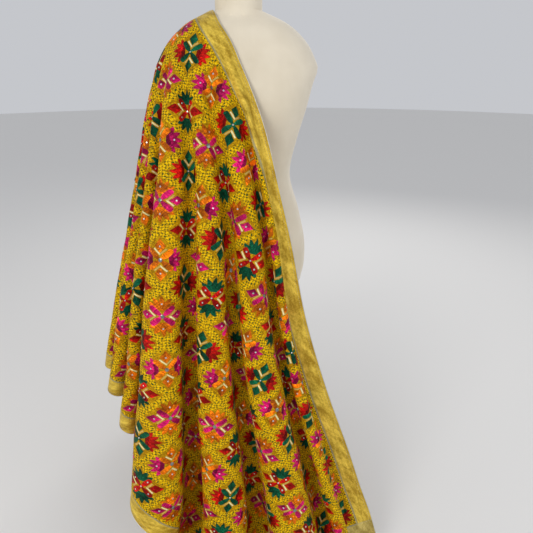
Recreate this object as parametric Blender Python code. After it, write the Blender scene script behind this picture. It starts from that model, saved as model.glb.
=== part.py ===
"""A phulkari shawl draped over one shoulder of a limbless dress form on a stand.

Metres, +Z up. The origin is the centre of the stand's underside, under the form's axis.
-Y is the front, and the shawl hangs on the -X shoulder, which is the form's own right.

The shawl is a rectangle of cloth. Its places are counted in motifs: along runs down the
length and across runs over the width. One point of its neck edge, the crown, lies on the
shoulder beside the neck. The cloth falls away from the crown in every direction, so a
place is found by its distance from the crown (reach) and the angle there (turn, 0 along
the front part of the neck edge, 180 degrees along the back part).

The drape is worked out in three steps. Level loops give the smooth surface that the cloth
would have without folds. The turn angles are laid along the loop of equal reach. What is
left over stands out from the loop as folds, each a crest whose heading is a sine.
"""

import bpy
import bmesh
import numpy as np

# Cloth
PITCH = 0.089            # one motif of the embroidery, both ways
FIELD_ALONG = (-9.5, 15.5)
FIELD_ACROSS = (-0.5, 9.5)
SIDE_BAND = 0.5          # width of a side band, in motifs
END_BAND = 0.7           # width of an end band, in motifs
CROWN_ALONG = -0.4
CROWN_ACROSS = FIELD_ACROSS[0] - SIDE_BAND
WALL = 0.0016
SEAM_GAP = 0.0003
TOUCH_GAP = 0.0004

# Smooth surface of the drape. Each row is one level loop: its height, how far it reaches
# to the side (-X), the front (-Y) and the back (+Y), and where its two free edges stand
# in x. The last rows lie on the floor, where the front corner of the cloth trails.
LOOP_COLUMNS = ("height", "side", "front", "back", "front_edge", "back_edge")
LOOPS = (
    (1.368, 0.060, 0.000, 0.000, -0.060, -0.060),
    (1.358, 0.078, 0.045, 0.040, -0.050, -0.050),
    (1.338, 0.119, 0.076, 0.066, -0.038, -0.040),
    (1.302, 0.160, 0.104, 0.090, -0.013, -0.020),
    (1.260, 0.184, 0.124, 0.108, 0.007, -0.005),
    (1.200, 0.199, 0.149, 0.127, 0.034, 0.012),
    (1.150, 0.208, 0.166, 0.140, 0.053, 0.022),
    (1.000, 0.234, 0.197, 0.162, 0.092, 0.045),
    (0.900, 0.252, 0.215, 0.172, 0.116, 0.058),
    (0.700, 0.295, 0.236, 0.185, 0.157, 0.080),
    (0.500, 0.335, 0.253, 0.198, 0.216, 0.100),
    (0.300, 0.365, 0.277, 0.210, 0.287, 0.115),
    (0.200, 0.380, 0.292, 0.215, 0.320, 0.120),
    (0.120, 0.400, 0.315, 0.220, 0.350, 0.125),
    (0.050, 0.430, 0.352, 0.225, 0.372, 0.130),
    (0.012, 0.470, 0.400, 0.230, 0.388, 0.135),
    (0.000, 0.520, 0.460, 0.235, 0.402, 0.140),
    (0.000, 0.640, 0.600, 0.240, 0.430, 0.145),
    (0.000, 0.860, 0.860, 0.245, 0.480, 0.150),
)
LOOP_ROUNDNESS = 2.4     # exponent of the rounded corner between front, side and back
LOOP_FLAT = -0.030       # x where the flat front and back give way to that corner

# Where the front of the cloth turns the corner: the share of the front loop, from the
# front edge to the side, that the turn angles up to FRONT_TURN take up at each reach.
FRONT_TURN = 40.0
SIDE_TURN = 100.0
SHARE_COLUMNS = ("reach", "share")
FRONT_SHARES = ((0.00, 0.440), (0.20, 0.440), (0.40, 0.420), (0.80, 0.450), (1.20, 0.496), (1.80, 0.528))

# Folds, by the turn angle of the crest, half the angle of cloth it takes, its fullness and
# how much flatter its crest is than its valleys
FOLD_COLUMNS = ("turn", "half", "fullness", "flatness")
FOLDS = (
    (6.3, 3.7, 1.30, 1.0),
    (17.5, 7.4, 1.00, 1.35),
    (32.4, 7.4, 1.05, 1.35),
    (49.3, 9.1, 1.05, 1.35),
    (64.0, 4.9, 1.15, 1.0),
    (74.4, 5.2, 1.00, 1.0),
    (85.0, 5.2, 1.20, 1.0),
    (95.0, 4.6, 0.95, 1.0),
    (106.0, 5.6, 1.10, 1.0),
    (117.5, 5.7, 0.90, 1.0),
    (129.5, 6.0, 1.20, 1.0),
    (141.0, 5.2, 0.85, 1.0),
    (152.5, 6.0, 1.15, 1.0),
    (164.0, 5.2, 0.95, 1.0),
    (174.0, 4.4, 1.05, 1.0),
)
FOLD_MOST = 1.85         # steepest heading of a fold, in radians
FOLD_START = (0.06, 0.42)  # reach over which the folds grow from nothing

# Dress form. Up to the bust it has sections of its own, and from SHOULDER_HEIGHTS on they
# follow the cloth's level loops, so that the cloth lies on the shoulder.
FORM_COLUMNS = ("height", "half_width", "front", "back")
FORM_SECTIONS = (
    (0.700, 0.148, 0.104, 0.112),
    (0.704, 0.155, 0.110, 0.118),
    (0.720, 0.161, 0.115, 0.123),
    (0.800, 0.168, 0.119, 0.128),
    (0.900, 0.149, 0.106, 0.106),
    (1.000, 0.123, 0.095, 0.086),
    (1.090, 0.140, 0.120, 0.092),
    (1.160, 0.160, 0.145, 0.106),
    (1.215, 0.174, 0.136, 0.112),
)
SHOULDER_HEIGHTS = (1.250, 1.270, 1.290, 1.305, 1.320, 1.333, 1.345, 1.353)
BODY_HEIGHTS = (0.700, 0.704, 0.720, 0.760, 0.800, 0.850, 0.900, 0.950, 1.000, 1.045, 1.090, 1.125, 1.160,
                1.190, 1.220)
FORM_SLACK = 0.0040      # the cloth's smooth surface lies this far off the form's shoulder
NECK_RADIUS = 0.0535
NECK_FOOT = 0.005        # how much wider the neck is where it meets the shoulders
NECK_HEIGHTS = (1.366, 1.380, 1.412)
CAP_HEIGHT = 0.018
CAP_RADIUS = 0.056
POLE_RADIUS = 0.0125
BASE_RADIUS = 0.165
BASE_HEIGHT = 0.016
COLLAR_RADIUS = 0.030
COLLAR_HEIGHT = 0.060

# Resolution of the worked-out drape and of the solids
REACH_STEP = 0.006
TURN_STEP = 0.125
LEVEL_COUNT = 420
HALF_LOOP_COUNT = 121
FIELD_ROWS = 13
ROW_CROWDING = 1.5       # over 1 crowds the rows of the field towards the shoulder
NECK_BAND_ROWS = 4
BAND_ROWS = 3
COLUMNS_LEAST = 8        # columns of faces across a narrow fold
COLUMN_ANGLE = 1.3       # turn angle to a column across a wide one
STRAIGHT_SPACING = 2.4   # motifs between columns along the straight ends of the neck edge
RING_COUNT = 40


def column(table, names, name):
    return np.array([row[names.index(name)] for row in table], float)


def hermite(places, knots, values):
    """A smooth curve through the knots, with the slope of its neighbours at each."""
    slopes = np.gradient(values, knots)
    index = np.clip(np.searchsorted(knots, places) - 1, 0, len(knots) - 2)
    width = knots[index + 1] - knots[index]
    u = (places - knots[index]) / width
    start = (1 + 2 * u) * (1 - u) ** 2 * values[index] + u * (1 - u) ** 2 * width * slopes[index]
    end = u * u * (3 - 2 * u) * values[index + 1] + u * u * (u - 1) * width * slopes[index + 1]
    return start + end


def smoothstep(value, low, high):
    u = np.clip((value - low) / (high - low), 0.0, 1.0)
    return u * u * (3 - 2 * u)


def distance_along(points):
    steps = np.linalg.norm(np.diff(points, axis=0), axis=-1)
    return np.concatenate([np.zeros((1,) + steps.shape[1:]), np.cumsum(steps, axis=0)])


def evenly_spaced(points, count):
    along = distance_along(points)
    places = np.linspace(0.0, along[-1], count)
    return np.stack([np.interp(places, along, points[:, axis]) for axis in range(points.shape[1])], axis=1)


def loop_levels():
    """The columns of LOOPS at LEVEL_COUNT levels, evenly spaced down the front."""
    values = {name: column(LOOPS, LOOP_COLUMNS, name) for name in LOOP_COLUMNS}
    knots = np.cumsum(np.hypot(np.diff(values["height"], prepend=values["height"][0]),
                               np.diff(values["front"], prepend=0.0)))
    places = np.linspace(0.0, knots[-1], LEVEL_COUNT)
    levels = {name: hermite(places, knots, values[name]) for name in LOOP_COLUMNS}
    levels["height"] = np.maximum(levels["height"], 0.0)
    levels["front"] = np.maximum(levels["front"], 0.0)
    levels["back"] = np.maximum(levels["back"], 0.0)
    return levels


def half_loop(edge, reach_y, side):
    """Points from the free edge, along the flat, round the corner to the side (y = 0)."""
    flat = min(edge, LOOP_FLAT)
    angle = np.linspace(0.0, np.pi / 2, 160)
    corner_x = flat - (side + flat) * np.sin(angle) ** (2 / LOOP_ROUNDNESS)
    corner_y = reach_y * np.cos(angle) ** (2 / LOOP_ROUNDNESS)
    run = np.linspace(edge, flat, 40, endpoint=False)
    x = np.concatenate([run, corner_x])
    y = np.concatenate([np.full(len(run), reach_y), corner_y])
    return evenly_spaced(np.stack([x, y], axis=1), HALF_LOOP_COUNT)


def smooth_surface(reaches):
    """Points of the unfolded drape, indexed by reach and by place round the loop."""
    levels = loop_levels()
    surface = np.zeros((LEVEL_COUNT, 2 * HALF_LOOP_COUNT - 1, 3))
    for number in range(LEVEL_COUNT):
        front = half_loop(levels["front_edge"][number], levels["front"][number], levels["side"][number])
        back = half_loop(levels["back_edge"][number], levels["back"][number], levels["side"][number])
        outline = np.concatenate([front * (1, -1), back[-2::-1]])
        surface[number, :, :2] = outline
        surface[number, :, 2] = levels["height"][number]
    along = distance_along(surface)
    result = np.zeros((len(reaches), surface.shape[1], 3))
    for place in range(surface.shape[1]):
        for axis in range(3):
            result[:, place, axis] = np.interp(reaches, along[:, place], surface[:, place, axis])
    return result


def fold_course(turns, reach, strength):
    """How far a run of cloth gets along the loop and out from it, both in metres."""
    heading = np.zeros(len(turns))
    for row in FOLDS:
        fold = dict(zip(FOLD_COLUMNS, row))
        off = (turns - fold["turn"]) / fold["half"]
        inside = np.abs(off) < 1
        phase = np.sign(off[inside]) * np.abs(off[inside]) ** fold["flatness"]
        steep = min(FOLD_MOST, fold["fullness"] * strength) * smoothstep(reach, *FOLD_START)
        heading[inside] = steep * np.sin(np.pi * (phase + 1))
    step = np.radians(turns[1] - turns[0]) * reach
    forward = np.concatenate([[0.0], np.cumsum(np.cos((heading[1:] + heading[:-1]) / 2))]) * step
    outward = np.concatenate([[0.0], np.cumsum(np.sin((heading[1:] + heading[:-1]) / 2))]) * step
    return forward, outward


def fitted_course(turns, reach, length):
    """The folds' strength is the one with which the run of cloth just spans the length."""
    low, high = 0.0, 2.4
    for _ in range(24):
        middle = (low + high) / 2
        forward, outward = fold_course(turns, reach, middle)
        low, high = (middle, high) if forward[-1] > length else (low, middle)
    forward, outward = fold_course(turns, reach, (low + high) / 2)
    return forward * (length / forward[-1]), np.maximum(outward, 0.0)


def draped_surface():
    """Reaches, turns and the inner face of the folded cloth at every pair of the two."""
    longest = PITCH * np.hypot(FIELD_ALONG[1] + END_BAND - CROWN_ALONG,
                               FIELD_ACROSS[1] + SIDE_BAND - CROWN_ACROSS)
    reaches = np.arange(REACH_STEP, longest + 3 * REACH_STEP, REACH_STEP)
    turns = np.arange(0.0, 180.0 + TURN_STEP / 2, TURN_STEP)
    smooth = smooth_surface(reaches)
    across = np.gradient(smooth, axis=1)
    down = np.gradient(smooth, axis=0)
    outward_way = np.cross(across, down)
    outward_way /= np.maximum(np.linalg.norm(outward_way, axis=2, keepdims=True), 1e-9)
    stretches = (turns <= FRONT_TURN, (turns >= FRONT_TURN) & (turns <= SIDE_TURN), turns >= SIDE_TURN)
    shares = np.interp(reaches, column(FRONT_SHARES, SHARE_COLUMNS, "reach"),
                       column(FRONT_SHARES, SHARE_COLUMNS, "share"))
    draped = np.zeros((len(reaches), len(turns), 3))
    for row, reach in enumerate(reaches):
        round_loop = distance_along(smooth[row])
        side_place = round_loop[HALF_LOOP_COUNT - 1]
        ends = (0.0, shares[row] * side_place, side_place, round_loop[-1])
        for stretch, start, end in zip(stretches, ends[:-1], ends[1:]):
            forward, outward = fitted_course(turns[stretch], reach, end - start)
            for axis in range(3):
                way = np.interp(start + forward, round_loop, outward_way[row, :, axis])
                base = np.interp(start + forward, round_loop, smooth[row, :, axis])
                draped[row, stretch, axis] = base + outward * way
    return reaches, turns, draped


def grid_normals(points):
    normals = np.cross(np.gradient(points, axis=1), np.gradient(points, axis=0))
    return normals / np.maximum(np.linalg.norm(normals, axis=2, keepdims=True), 1e-12)


class Drape:
    """Finds points on both faces of the cloth from places counted in motifs."""

    def __init__(self):
        self.reaches, self.turns, self.inner = draped_surface()
        self.normals = grid_normals(self.inner)

    def sample(self, grid, reach, turn):
        row = np.clip((reach - self.reaches[0]) / REACH_STEP, 0, len(self.reaches) - 1.001)
        place = np.clip(turn / TURN_STEP, 0, len(self.turns) - 1.001)
        r, p = row.astype(int), place.astype(int)
        u, v = (row - r)[..., None], (place - p)[..., None]
        near = grid[r, p] * (1 - v) + grid[r, p + 1] * v
        far = grid[r + 1, p] * (1 - v) + grid[r + 1, p + 1] * v
        return near * (1 - u) + far * u

    def faces(self, along, across):
        """Inner and outer points for arrays of places."""
        reach = PITCH * np.hypot(along - CROWN_ALONG, across - CROWN_ACROSS)
        turn = np.degrees(np.arctan2(across - CROWN_ACROSS, along - CROWN_ALONG))
        inner = self.sample(self.inner, reach, turn)
        normals = self.sample(self.normals, reach, turn)
        normals /= np.maximum(np.linalg.norm(normals, axis=-1, keepdims=True), 1e-9)
        return inner, inner + WALL * normals


def field_turns():
    """The turn angles of the field's columns: through every fold and at its corners."""
    depth = FIELD_ACROSS[0] - CROWN_ACROSS
    width = FIELD_ACROSS[1] - CROWN_ACROSS
    ahead = FIELD_ALONG[1] - CROWN_ALONG
    behind = FIELD_ALONG[0] - CROWN_ALONG
    corners = [np.degrees(np.arctan2(depth, ahead)), np.degrees(np.arctan2(width, ahead)),
               np.degrees(np.arctan2(width, behind)), np.degrees(np.arctan2(depth, behind))]
    wanted = list(corners)
    for row in FOLDS:
        fold = dict(zip(FOLD_COLUMNS, row))
        count = max(COLUMNS_LEAST, 2 * round(fold["half"] / COLUMN_ANGLE))
        phase = np.linspace(-1, 1, count + 1)
        wanted += list(fold["turn"] + fold["half"] * np.sign(phase) * np.abs(phase) ** (1 / fold["flatness"]))
    for place in np.arange(1.5, ahead, STRAIGHT_SPACING):
        wanted.append(np.degrees(np.arctan2(depth, place)))
    for place in np.arange(1.5, -behind, STRAIGHT_SPACING):
        wanted.append(180 - np.degrees(np.arctan2(depth, place)))
    kept = list(corners)
    for turn in sorted(wanted):
        clear = min(abs(turn - other) for other in kept)
        if corners[0] < turn < corners[3] and clear > 0.3:
            kept.append(turn)
    return np.array(sorted(kept)), corners


def shell(name, inner, outer, material):
    """A closed wall between two grids of points, with its rim."""
    rows, columns = inner.shape[:2]
    count = rows * columns
    index = np.arange(count).reshape(rows, columns)
    face = np.stack([index[:-1, :-1], index[1:, :-1], index[1:, 1:], index[:-1, 1:]], axis=-1).reshape(-1, 4)
    border = np.concatenate([index[0, :], index[1:, -1], index[-1, -2::-1], index[-2:0:-1, 0]])
    after = np.roll(border, -1)
    rim = np.stack([border, after, after + count, border + count], axis=1)
    faces = np.concatenate([face + count, face[:, ::-1], rim])
    points = np.concatenate([inner.reshape(-1, 3), outer.reshape(-1, 3)])
    return solid(name, points, faces.tolist(), material)


def solid(name, points, faces, material):
    mesh = bpy.data.meshes.new(name)
    mesh.from_pydata(points.tolist(), [], faces)
    work = bmesh.new()
    work.from_mesh(mesh)
    bmesh.ops.remove_doubles(work, verts=work.verts, dist=0.00002)
    bmesh.ops.triangulate(work, faces=work.faces)
    bmesh.ops.recalc_face_normals(work, faces=work.faces)
    work.to_mesh(mesh)
    work.free()
    mesh.materials.append(material)
    mesh.shade_smooth()
    mesh.set_sharp_from_angle(angle=np.radians(60))
    obj = bpy.data.objects.new(name, mesh)
    bpy.context.scene.collection.objects.link(obj)
    return obj


def material(name, colour, roughness, metallic=0.0):
    made = bpy.data.materials.new(name)
    made.use_nodes = True
    surface = made.node_tree.nodes["Principled BSDF"]
    surface.inputs["Base Color"].default_value = (*colour, 1.0)
    surface.inputs["Roughness"].default_value = roughness
    surface.inputs["Metallic"].default_value = metallic
    return made


def make_field(drape, turns, finish):
    """Columns run out from the crown, from the neck band's seam to the far seams."""
    radians = np.radians(turns)
    sine, cosine = np.sin(radians), np.cos(radians)
    start = (FIELD_ACROSS[0] - CROWN_ACROSS) / sine
    far_side = (FIELD_ACROSS[1] - CROWN_ACROSS) / sine
    ahead = np.where(cosine > 1e-6, (FIELD_ALONG[1] - CROWN_ALONG) / np.maximum(cosine, 1e-6), 1e6)
    behind = np.where(cosine < -1e-6, (FIELD_ALONG[0] - CROWN_ALONG) / np.minimum(cosine, -1e-6), 1e6)
    end = np.minimum(np.minimum(far_side, ahead), behind)
    share = np.linspace(0.0, 1.0, FIELD_ROWS)[:, None] ** ROW_CROWDING
    reach = start + (end - start) * share
    inner, outer = drape.faces(CROWN_ALONG + reach * cosine, CROWN_ACROSS + reach * sine)
    return shell("shawl_field", inner, outer, finish)


def make_band(drape, name, along, across, finish):
    inner, outer = drape.faces(*np.broadcast_arrays(along, across))
    return shell(name, inner, outer, finish)


def band_steps(count, width):
    """Places across a band, in motifs from its seam, starting at the seam's gap."""
    gap = SEAM_GAP / PITCH
    return gap + (width - gap) * np.linspace(0.0, 1.0, count)


def make_bands(drape, turns, corners, finish):
    """Each band takes the field's own columns along its seam, less the seam's gap."""
    tangent = np.tan(np.radians(turns))
    neck_steps = band_steps(NECK_BAND_ROWS, SIDE_BAND)
    outer_steps = band_steps(BAND_ROWS, SIDE_BAND)
    near = CROWN_ALONG + (FIELD_ACROSS[0] - CROWN_ACROSS) / tangent
    make_band(drape, "neck_side_band", near[None, :], FIELD_ACROSS[0] - neck_steps[:, None], finish)

    middle = (turns >= corners[1] - 1e-9) & (turns <= corners[2] + 1e-9)
    far = CROWN_ALONG + (FIELD_ACROSS[1] - CROWN_ACROSS) / tangent[middle]
    make_band(drape, "outer_side_band", far[None, :], FIELD_ACROSS[1] + outer_steps[:, None], finish)

    ends = (
        ("front_end_band", turns <= corners[1] + 1e-9, FIELD_ALONG[1], 1),
        ("back_end_band", turns >= corners[2] - 1e-9, FIELD_ALONG[0], -1),
    )
    for name, chosen, seam, way in ends:
        places = CROWN_ACROSS + (seam - CROWN_ALONG) * tangent[chosen]
        places = np.concatenate([places, FIELD_ACROSS[0] - neck_steps[1:], FIELD_ACROSS[1] + outer_steps[1:]])
        along = seam + way * band_steps(BAND_ROWS, END_BAND)
        make_band(drape, name, along[:, None], np.sort(places)[None, :], finish)


def form_radius(angle, half_width, front, back):
    """Radius of a section with the cloth loop's outline, at an angle from +X."""
    flat = min(-LOOP_FLAT, 0.5 * half_width)
    quarter = np.linspace(0.0, np.pi / 2, 120)
    bend_x = flat + (half_width - flat) * np.sin(quarter) ** (2 / LOOP_ROUNDNESS)
    bend_y = np.cos(quarter) ** (2 / LOOP_ROUNDNESS)
    x = np.concatenate([[0.0], bend_x, bend_x[-2::-1], [0.0]])
    y = np.concatenate([[front], front * bend_y, -back * bend_y[-2::-1], [-back]])
    around = np.arctan2(y, x)
    order = np.argsort(around)
    folded = np.arctan2(-np.sin(angle), np.abs(np.cos(angle)))
    return np.interp(folded, around[order], np.hypot(x, y)[order])


def form_sizes(heights):
    """Half width, front and back of the form at each height, its own or the cloth's less the slack."""
    levels = loop_levels()
    upward = np.argsort(levels["height"])
    shoulder = np.array(SHOULDER_HEIGHTS)
    knots = np.concatenate([column(FORM_SECTIONS, FORM_COLUMNS, "height"), shoulder])
    sizes = []
    for name, source in (("half_width", "side"), ("front", "front"), ("back", "back")):
        upper = np.interp(shoulder, levels["height"][upward], levels[source][upward]) - FORM_SLACK
        sizes.append(hermite(heights, knots, np.concatenate([column(FORM_SECTIONS, FORM_COLUMNS, name), upper])))
    return np.stack(sizes, axis=1)


def make_form(finish):
    """One smooth body from hip to neck. The neck shows where it is wider than the shoulder's section."""
    trunk = np.array(BODY_HEIGHTS + SHOULDER_HEIGHTS)
    angle = np.arange(RING_COUNT) * 2 * np.pi / RING_COUNT
    foot = NECK_RADIUS + NECK_FOOT * (1 - smoothstep(trunk, SHOULDER_HEIGHTS[2], NECK_HEIGHTS[1]))
    neck_in_trunk = np.where(trunk > BODY_HEIGHTS[-1], foot, 0.0)
    radii = [np.maximum(neck, form_radius(angle, *size)) for neck, size in zip(neck_in_trunk, form_sizes(trunk))]
    radii += [np.full(RING_COUNT, NECK_RADIUS)] * len(NECK_HEIGHTS)
    rings = [np.stack([radius * np.cos(angle), radius * np.sin(angle), np.full(RING_COUNT, height)], axis=1)
             for radius, height in zip(radii, np.concatenate([trunk, NECK_HEIGHTS]))]
    return lofted("form_body", np.array(rings), finish)


def lofted(name, rings, finish):
    """A closed solid through rings of points, with flat ends."""
    count, size = rings.shape[:2]
    index = np.arange(count * size).reshape(count, size)
    after = np.roll(index, -1, axis=1)
    sides = np.stack([index[:-1], after[:-1], after[1:], index[1:]], axis=-1).reshape(-1, 4)
    faces = sides.tolist() + [index[0, ::-1].tolist(), index[-1].tolist()]
    return solid(name, rings.reshape(-1, 3), faces, finish)


def turned(name, profile, finish, count=36):
    """A solid turned about the form's axis from (radius, height) pairs, bottom to top."""
    angle = np.arange(count) * 2 * np.pi / count
    rings = [np.stack([r * np.cos(angle), r * np.sin(angle), np.full(count, z)], axis=1) for r, z in profile]
    return lofted(name, np.array(rings), finish)


def make_stand(wood, metal):
    underside = FORM_SECTIONS[0][0]
    cap = NECK_HEIGHTS[-1] + TOUCH_GAP
    turned("neck_cap", (
        (CAP_RADIUS - 0.002, cap),
        (CAP_RADIUS, cap + 0.002),
        (CAP_RADIUS, cap + CAP_HEIGHT * 0.55),
        (CAP_RADIUS * 0.93, cap + CAP_HEIGHT * 0.82),
        (CAP_RADIUS * 0.70, cap + CAP_HEIGHT * 0.95),
        (CAP_RADIUS * 0.30, cap + CAP_HEIGHT),
    ), wood)
    turned("stand_pole", (
        (POLE_RADIUS, COLLAR_HEIGHT + TOUCH_GAP),
        (POLE_RADIUS, underside - TOUCH_GAP),
    ), metal, 24)
    turned("stand_base", (
        (BASE_RADIUS - 0.002, 0.0),
        (BASE_RADIUS, 0.002),
        (BASE_RADIUS, BASE_HEIGHT - 0.004),
        (BASE_RADIUS - 0.004, BASE_HEIGHT),
        (COLLAR_RADIUS + 0.012, BASE_HEIGHT + 0.004),
        (COLLAR_RADIUS, BASE_HEIGHT + 0.014),
        (COLLAR_RADIUS * 0.75, COLLAR_HEIGHT - 0.003),
        (COLLAR_RADIUS * 0.68, COLLAR_HEIGHT),
    ), wood)


def clear_scene():
    for obj in list(bpy.data.objects):
        bpy.data.objects.remove(obj)


def main():
    clear_scene()
    embroidered = material("embroidered_cotton", (0.62, 0.36, 0.03), 0.7)
    tissue = material("gold_tissue", (0.72, 0.52, 0.14), 0.4)
    cover = material("form_cover", (0.78, 0.70, 0.56), 0.85)
    wood = material("dark_wood", (0.09, 0.05, 0.03), 0.4)
    metal = material("pole_steel", (0.55, 0.55, 0.56), 0.3, 1.0)
    drape = Drape()
    turns, corners = field_turns()
    make_field(drape, turns, embroidered)
    make_bands(drape, turns, corners, tissue)
    make_form(cover)
    make_stand(wood, metal)


main()
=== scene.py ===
"""Looks of the phulkari shawl and the dress form it hangs on.

Metres, +Z up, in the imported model's frame. The shawl's places are counted in motifs: along
runs down its length, across runs over its width. The cloth is worked out as in the part:
smooth level loops, the turn angles about the crown laid along them, and the rest of the
cloth standing out as folds. Here it is finer, with small creases as well.
"""

import bpy
import numpy as np
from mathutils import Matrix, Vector


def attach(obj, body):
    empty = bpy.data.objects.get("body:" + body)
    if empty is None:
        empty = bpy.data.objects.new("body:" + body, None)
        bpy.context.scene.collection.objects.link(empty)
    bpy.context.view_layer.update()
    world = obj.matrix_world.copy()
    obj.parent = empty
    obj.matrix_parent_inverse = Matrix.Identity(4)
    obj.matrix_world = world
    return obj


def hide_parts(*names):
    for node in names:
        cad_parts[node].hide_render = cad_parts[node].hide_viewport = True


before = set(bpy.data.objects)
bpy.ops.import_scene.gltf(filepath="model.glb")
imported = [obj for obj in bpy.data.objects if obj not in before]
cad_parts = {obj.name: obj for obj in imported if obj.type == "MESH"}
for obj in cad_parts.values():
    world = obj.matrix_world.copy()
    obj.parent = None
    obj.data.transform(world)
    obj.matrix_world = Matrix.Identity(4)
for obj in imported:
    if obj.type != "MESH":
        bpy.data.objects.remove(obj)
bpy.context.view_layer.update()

# Cloth, as it is cut
PITCH = 0.089
FIELD_ALONG = (-9.5, 15.5)
FIELD_ACROSS = (-0.5, 9.5)
SIDE_BAND = 0.5
END_BAND = 0.7
CROWN_ALONG = -0.4
CROWN_ACROSS = FIELD_ACROSS[0] - SIDE_BAND
WALL = 0.0016
SEAM_GAP = 0.0003

# Smooth surface of the drape, one level loop a row
LOOP_COLUMNS = ("height", "side", "front", "back", "front_edge", "back_edge")
LOOPS = (
    (1.368, 0.060, 0.000, 0.000, -0.060, -0.060),
    (1.358, 0.078, 0.045, 0.040, -0.050, -0.050),
    (1.338, 0.119, 0.076, 0.066, -0.038, -0.040),
    (1.302, 0.160, 0.104, 0.090, -0.013, -0.020),
    (1.260, 0.184, 0.124, 0.108, 0.007, -0.005),
    (1.200, 0.199, 0.149, 0.127, 0.034, 0.012),
    (1.150, 0.208, 0.166, 0.140, 0.053, 0.022),
    (1.000, 0.234, 0.197, 0.162, 0.092, 0.045),
    (0.900, 0.252, 0.215, 0.172, 0.116, 0.058),
    (0.700, 0.295, 0.236, 0.185, 0.157, 0.080),
    (0.500, 0.335, 0.253, 0.198, 0.216, 0.100),
    (0.300, 0.365, 0.277, 0.210, 0.287, 0.115),
    (0.200, 0.380, 0.292, 0.215, 0.320, 0.120),
    (0.120, 0.400, 0.315, 0.220, 0.350, 0.125),
    (0.050, 0.430, 0.352, 0.225, 0.372, 0.130),
    (0.012, 0.470, 0.400, 0.230, 0.388, 0.135),
    (0.000, 0.520, 0.460, 0.235, 0.402, 0.140),
    (0.000, 0.640, 0.600, 0.240, 0.430, 0.145),
    (0.000, 0.860, 0.860, 0.245, 0.480, 0.150),
)
LOOP_ROUNDNESS = 2.4
LOOP_FLAT = -0.030
FRONT_TURN = 40.0
SIDE_TURN = 100.0
SHARE_COLUMNS = ("reach", "share")
FRONT_SHARES = ((0.00, 0.440), (0.20, 0.440), (0.40, 0.420), (0.80, 0.450), (1.20, 0.496), (1.80, 0.528))
FOLD_COLUMNS = ("turn", "half", "fullness", "flatness")
FOLDS = (
    (6.3, 3.7, 1.30, 1.0),
    (17.5, 7.4, 1.00, 1.35),
    (32.4, 7.4, 1.05, 1.35),
    (49.3, 9.1, 1.05, 1.35),
    (64.0, 4.9, 1.15, 1.0),
    (74.4, 5.2, 1.00, 1.0),
    (85.0, 5.2, 1.20, 1.0),
    (95.0, 4.6, 0.95, 1.0),
    (106.0, 5.6, 1.10, 1.0),
    (117.5, 5.7, 0.90, 1.0),
    (129.5, 6.0, 1.20, 1.0),
    (141.0, 5.2, 0.85, 1.0),
    (152.5, 6.0, 1.15, 1.0),
    (164.0, 5.2, 0.95, 1.0),
    (174.0, 4.4, 1.05, 1.0),
)
FOLD_MOST = 1.85
FOLD_START = (0.06, 0.42)

# Small creases: where each is centred, the way it runs in the cloth (degrees from along
# towards across), and its length, width and height, all but the angle in motifs
CREASE_COLUMNS = ("along", "across", "way", "length", "width", "height")
CREASES = (
    (1.2, 1.1, 22, 2.6, 0.16, 0.030),
    (2.6, 0.4, 14, 2.2, 0.13, 0.024),
    (3.4, 2.6, 40, 3.0, 0.18, 0.034),
    (4.6, 1.0, 28, 2.4, 0.14, 0.030),
    (5.6, 3.9, 52, 2.0, 0.15, 0.026),
    (6.2, 1.8, 33, 3.2, 0.17, 0.036),
    (7.4, 0.2, 18, 2.8, 0.12, 0.026),
    (8.1, 3.2, 36, 2.6, 0.18, 0.036),
    (8.8, 5.4, 47, 2.4, 0.16, 0.030),
    (9.9, 1.4, 25, 3.0, 0.15, 0.032),
    (10.6, 4.1, 38, 2.2, 0.17, 0.030),
    (11.9, 2.2, 30, 2.6, 0.14, 0.030),
    (12.8, 5.6, 44, 2.4, 0.16, 0.028),
    (13.6, 0.8, 20, 2.0, 0.13, 0.026),
    (0.4, 5.2, 80, 2.6, 0.17, 0.030),
    (-2.4, 3.4, 118, 2.8, 0.16, 0.030),
    (-4.2, 1.6, 150, 2.6, 0.15, 0.028),
    (-5.6, 4.4, 134, 3.0, 0.18, 0.034),
    (-7.3, 2.7, 142, 2.4, 0.15, 0.030),
)
RIPPLE = 0.0007          # height of the soft unevenness all over the cloth

# Dress form and stand, as in the part
FORM_COLUMNS = ("height", "half_width", "front", "back")
FORM_SECTIONS = (
    (0.700, 0.148, 0.104, 0.112),
    (0.704, 0.155, 0.110, 0.118),
    (0.720, 0.161, 0.115, 0.123),
    (0.800, 0.168, 0.119, 0.128),
    (0.900, 0.149, 0.106, 0.106),
    (1.000, 0.123, 0.095, 0.086),
    (1.090, 0.140, 0.120, 0.092),
    (1.160, 0.160, 0.145, 0.106),
    (1.215, 0.174, 0.136, 0.112),
)
SHOULDER_HEIGHTS = (1.250, 1.270, 1.290, 1.305, 1.320, 1.333, 1.345, 1.353)
FORM_SLACK = 0.0040
NECK_RADIUS = 0.0535
NECK_FOOT = 0.005
NECK_BLEND = 0.004
NECK_HEIGHTS = (1.366, 1.380, 1.412)
BUST_HEIGHT = 1.220
CAP_HEIGHT = 0.018
CAP_RADIUS = 0.056
TOUCH_GAP = 0.0004
POLE_RADIUS = 0.0125
BASE_RADIUS = 0.165
BASE_HEIGHT = 0.016
COLLAR_RADIUS = 0.030
COLLAR_HEIGHT = 0.060

# Resolution
REACH_STEP = 0.004
TURN_STEP = 0.1
LEVEL_COUNT = 520
HALF_LOOP_COUNT = 161
FIELD_GRID = (330, 132)
BAND_ACROSS = 9
WALL_SHARP = 50          # edges turning by more than these degrees stay sharp
LOFT_SHARP = 40
DISC_SHARP = 35

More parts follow.
